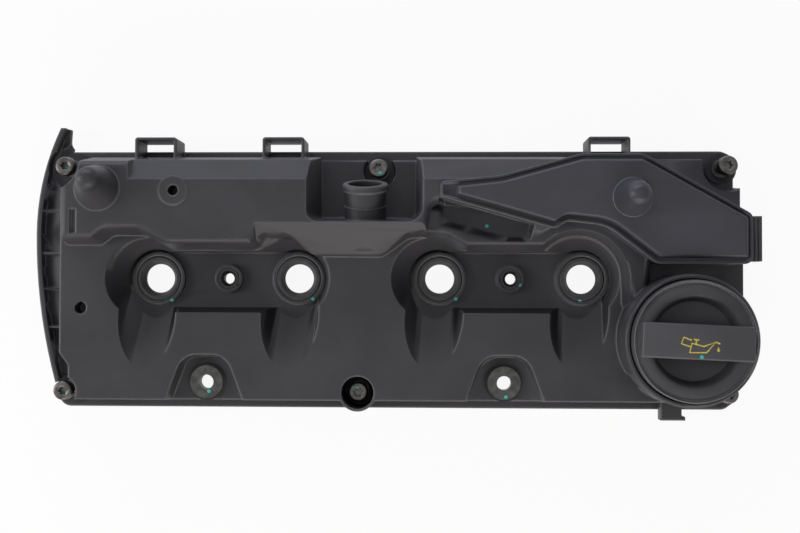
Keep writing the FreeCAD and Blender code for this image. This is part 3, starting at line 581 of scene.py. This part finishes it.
# %% Thread
ridge_height, thread_start = 0.98 * thread_pitch / mm, 0.6 * mm
crest, root = shank_radius / mm, 0.84 * shank_radius / mm
ridge = drawn_line("bolt_thread", [
    (root, 0.0), (crest, 0.44 * ridge_height), (crest, 0.56 * ridge_height), (root, ridge_height)])
ridge.location = (bolt_x, bolt_y, bolt_tip + thread_start)
screw = ridge.modifiers.new("screw", "SCREW")
screw.screw_offset = thread_pitch
screw.iterations = int(thread_length / thread_pitch) - 2
screw.steps = 24
screw.render_steps = 24
bpy.ops.object.modifier_apply(modifier="screw")
settle(ridge, "bolt_thread")
print("thread faces:", len(ridge.data.polygons))

# %% Bolt in one piece
only(head)
core.select_set(True)
ridge.select_set(True)
bpy.ops.object.join()
bolt = settle(head, "captive_bolt_front_left")
finish(bolt, bolt_zinc, "bolt_front_left", angle=32)
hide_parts("cover_bolt_front_left")
print("bolt faces:", len(bolt.data.polygons))

# %% Copies of the bolt
for name in bolt_names[1:]:
    x, y, low, high = head_of(f"cover_bolt_{name}")
    mesh = bolt.data.copy()
    mesh.transform(Matrix.Translation((x - bolt_x, y - bolt_y, high - bolt_top)))
    copy = bpy.data.objects.new(f"captive_bolt_{name}", mesh)
    bpy.context.scene.collection.objects.link(copy)
    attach(copy, f"bolt_{name}")
    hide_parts(f"cover_bolt_{name}")
print("bolts:", len(bolt_names))

# %% [markdown]
# ## Yellow filler symbol
# The grip of the cap carries the usual oil can symbol, printed in yellow. It is drawn with thin
# strokes: each is a curve with a small round section, made a mesh and pressed flat, so it stands only a
# tenth of a millimetre proud.

# %% Paint and stroke helpers
def paint(name, colour, gloss):
    material, nodes, links, shader, coords = new_material(name)
    thin = noise(nodes, links, coords, scale=900.0, detail=3.0)
    level = spread(nodes, links, thin, (0.35, 0.7), (0.0, 1.0))
    wear_and_edge_highlight = tuple(0.72 * share for share in colour)
    links.new(blend_colours(nodes, links, level, colour, wear_and_edge_highlight), shader.inputs["Base Color"])
    rough = spread(nodes, links, thin, (0.3, 0.7), (gloss, gloss + 0.1))
    links.new(rough, shader.inputs["Roughness"])
    return material


def strokes(name, lines, width, height, level):
    """Flat printed lines through drawing places, with a width and a height, on one level."""
    curve = bpy.data.curves.new(name, "CURVE")
    curve.dimensions = "3D"
    curve.bevel_depth = width / 2
    curve.bevel_resolution = 2
    curve.use_fill_caps = True
    for points, closed in lines:
        spline = curve.splines.new("POLY")
        spline.points.add(len(points) - 1)
        spline.use_cyclic_u = closed
        for point, (x, y) in zip(spline.points, points):
            spot = place(x, y)
            point.co = (spot.x, spot.y, 0, 1)
    piece = bpy.data.objects.new(name, curve)
    bpy.context.scene.collection.objects.link(piece)
    only(piece)
    bpy.ops.object.convert(target="MESH")
    piece = bpy.context.object
    piece.scale = (1, 1, height / (width / 2))
    piece.location = (0, 0, level)
    return settle(piece, name)


grip_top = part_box("oil_cap")[1][2]
yellow = paint("yellow print", (0.60, 0.50, 0.06), 0.5)
oil_can = strokes("oil_can_symbol", [
    ([(185.4, -34.8), (181.0, -33.2), (179.7, -36.8), (184.6, -38.4)], False),
    ([(184.3, -41.8), (185.6, -36.6), (192.3, -38.3), (199.0, -35.8), (193.7, -41.8)], True),
    ([(199.0, -35.8), (201.4, -36.9)], False),
    ([(186.6, -34.3), (189.6, -34.7)], False),
    ([(188.1, -34.6), (187.9, -36.9)], False),
], width=0.85 * mm, height=0.10 * mm, level=grip_top)
finish(oil_can, yellow, "filler_cap", angle=60)
print("symbol faces:", len(oil_can.data.polygons))

# %% Oil drop of the symbol
bpy.ops.object.select_all(action="DESELECT")
drop_at, drop_radius = place(200.4, -40.4), 0.95 * mm
bpy.ops.mesh.primitive_uv_sphere_add(
    segments=20, ring_count=10, radius=drop_radius, location=(drop_at.x, drop_at.y, grip_top))
drop = bpy.context.object
drop.scale = (0.9, 1.0, 0.11)
drop = settle(drop, "oil_drop_symbol")
for vertex in drop.data.vertices:
    above = vertex.co.y - drop_at.y
    if above > 0:
        vertex.co.y += above * 0.9
        vertex.co.x = drop_at.x + (vertex.co.x - drop_at.x) * (1 - 0.75 * above / drop_radius)
finish(drop, yellow, "filler_cap", angle=60)
print("drop at", [round(v, 4) for v in drop_at])

# %% [markdown]
# ## Inspection dots
# After assembly a fitter marks each checked point with a dab of teal paint. A ray from the camera
# through the dab's place finds the surface and its direction, and a flattened ball is laid there, so
# each dab sits on what carries it when it is seen from any side.

# %% Paint dabs
teal = paint("teal marking paint", (0.03, 0.45, 0.42), 0.35)


def dab(name, px, py, body, radius=1.15 * mm):
    """Lays a dab where the pixel's ray meets the object, and says what carries it."""
    depsgraph = bpy.context.evaluated_depsgraph_get()
    hit, where, normal, index, carrier, matrix = bpy.context.scene.ray_cast(
        depsgraph, camera.location, sight(px, py))
    bpy.ops.object.select_all(action="DESELECT")
    bpy.ops.mesh.primitive_uv_sphere_add(segments=18, ring_count=8, radius=radius, location=where)
    piece = bpy.context.object
    piece.scale = (1.0, 0.92, 0.13)
    piece.rotation_euler = normal.to_track_quat("Z", "Y").to_euler()
    settle(piece, name)
    finish(piece, teal, body, angle=60)
    return carrier.name if hit else "nothing"


dabs = [
    ("dab_back_left", 66, 167, "bolt_back_left"), ("dab_back_middle", 380, 173, "bolt_back_middle"),
    ("dab_front_left", 64, 391, "bolt_front_left"), ("dab_front_middle", 357, 388, "bolt_front_middle"),
    ("dab_valve_recess", 487, 226, "cover"),
    ("dab_left_sleeve", 209, 391, "cover"), ("dab_right_sleeve", 506, 397, "cover"),
    ("dab_injector_1", 172, 300, "cover"), ("dab_injector_2", 313, 299, "cover"),
    ("dab_injector_3", 456, 299, "cover"), ("dab_injector_4", 580, 301, "cover"),
    ("dab_clamp_1", 236, 285, "cover"), ("dab_clamp_2", 520, 285, "cover"),
    ("dab_cap", 702, 357, "filler_cap"),
]
for name, px, py, body in dabs:
    print(name, "lies on", dab(name, px, py, body))

# %% [markdown]
# ## The studio
# A pale floor runs under the cover, white enough to vanish in the picture. Its whiteness is its own
# colour, seen by the camera and in reflections, and no light is added to the cover for it: a share of
# its shading stays real, so the soft shadow stays too.

# %% Floor
def white_rays(nodes, links):
    """One for camera, glossy and transmission rays, and zero for the rays that light the object."""
    path = add(nodes, "ShaderNodeLightPath")
    seen = add(nodes, "ShaderNodeMath", operation="ADD", use_clamp=True)
    seen_too = add(nodes, "ShaderNodeMath", operation="ADD", use_clamp=True)
    links.new(path.outputs["Is Camera Ray"], seen.inputs[0])
    links.new(path.outputs["Is Glossy Ray"], seen.inputs[1])
    links.new(seen.outputs["Value"], seen_too.inputs[0])
    links.new(path.outputs["Is Transmission Ray"], seen_too.inputs[1])
    return seen_too


floor_size, floor_gap, white_share = 6.0, 0.2 * mm, 0.92
bpy.ops.object.select_all(action="DESELECT")
bpy.ops.mesh.primitive_plane_add(size=floor_size, location=(0, 0, -floor_gap))
floor = bpy.context.object
floor.name = "floor"
floor_white = bpy.data.materials.new("white floor")
floor_white.use_nodes = True
nodes, links = floor_white.node_tree.nodes, floor_white.node_tree.links
paper = nodes["Principled BSDF"]
paper.inputs["Base Color"].default_value = (0.85, 0.85, 0.85, 1)
paper.inputs["Roughness"].default_value = 0.9
glow = add(nodes, "ShaderNodeEmission")
glow.inputs["Strength"].default_value = 1.0
share = add(nodes, "ShaderNodeMath", operation="MULTIPLY")
share.inputs[1].default_value = white_share
links.new(white_rays(nodes, links).outputs["Value"], share.inputs[0])
mix = add(nodes, "ShaderNodeMixShader")
links.new(share.outputs["Value"], mix.inputs["Fac"])
links.new(paper.outputs["BSDF"], mix.inputs[1])
links.new(glow.outputs["Emission"], mix.inputs[2])
links.new(mix.outputs["Shader"], nodes["Material Output"].inputs["Surface"])
floor.data.materials.append(floor_white)
print("floor ready")

# %% Soft lamps
def soft_lamp(name, spot, aim, size, power, colour):
    data = bpy.data.lights.new(name, "AREA")
    data.shape = "RECTANGLE"
    data.size, data.size_y = size
    data.energy = power
    data.color = colour
    lamp = bpy.data.objects.new(name, data)
    lamp.location = spot
    lamp.rotation_euler = (Vector(aim) - Vector(spot)).to_track_quat("-Z", "Y").to_euler()
    bpy.context.scene.collection.objects.link(lamp)


soft_lamp("overhead", spot=(-0.1, 0.1, 1.7), aim=(0, 0, 0),
          size=(1.2, 0.8), power=1.8, colour=(0.95, 0.96, 1.0))
soft_lamp("back", spot=(-0.3, 1.35, 0.5), aim=(0, 0, 0.03),
          size=(1.6, 0.3), power=15.0, colour=(0.83, 0.87, 1.0))
soft_lamp("front", spot=(0.1, -1.3, 0.65), aim=(0, 0, 0.02),
          size=(1.6, 0.4), power=18.0, colour=(1.0, 0.95, 0.90))
soft_lamp("left", spot=(-1.3, 0.0, 0.6), aim=(0, 0, 0.02),
          size=(0.4, 1.0), power=11.0, colour=(1.0, 0.98, 0.98))
print("lamps ready")

# %% Surroundings and view
world = bpy.data.worlds.new("studio")
bpy.context.scene.world = world
world.use_nodes = True
nodes, links = world.node_tree.nodes, world.node_tree.links
background = nodes["Background"]
background.inputs["Color"].default_value = (0.92, 0.94, 1.0, 1)
background.inputs["Strength"].default_value = 0.15
white = add(nodes, "ShaderNodeBackground")
white.inputs["Color"].default_value = (1, 1, 1, 1)
white.inputs["Strength"].default_value = 1.0
choose = add(nodes, "ShaderNodeMixShader")
links.new(white_rays(nodes, links).outputs["Value"], choose.inputs["Fac"])
links.new(background.outputs["Background"], choose.inputs[1])
links.new(white.outputs["Background"], choose.inputs[2])
links.new(choose.outputs["Shader"], nodes["World Output"].inputs["Surface"])
bpy.context.scene.view_settings.view_transform = "Standard"
print("view transform:", bpy.context.scene.view_settings.view_transform)
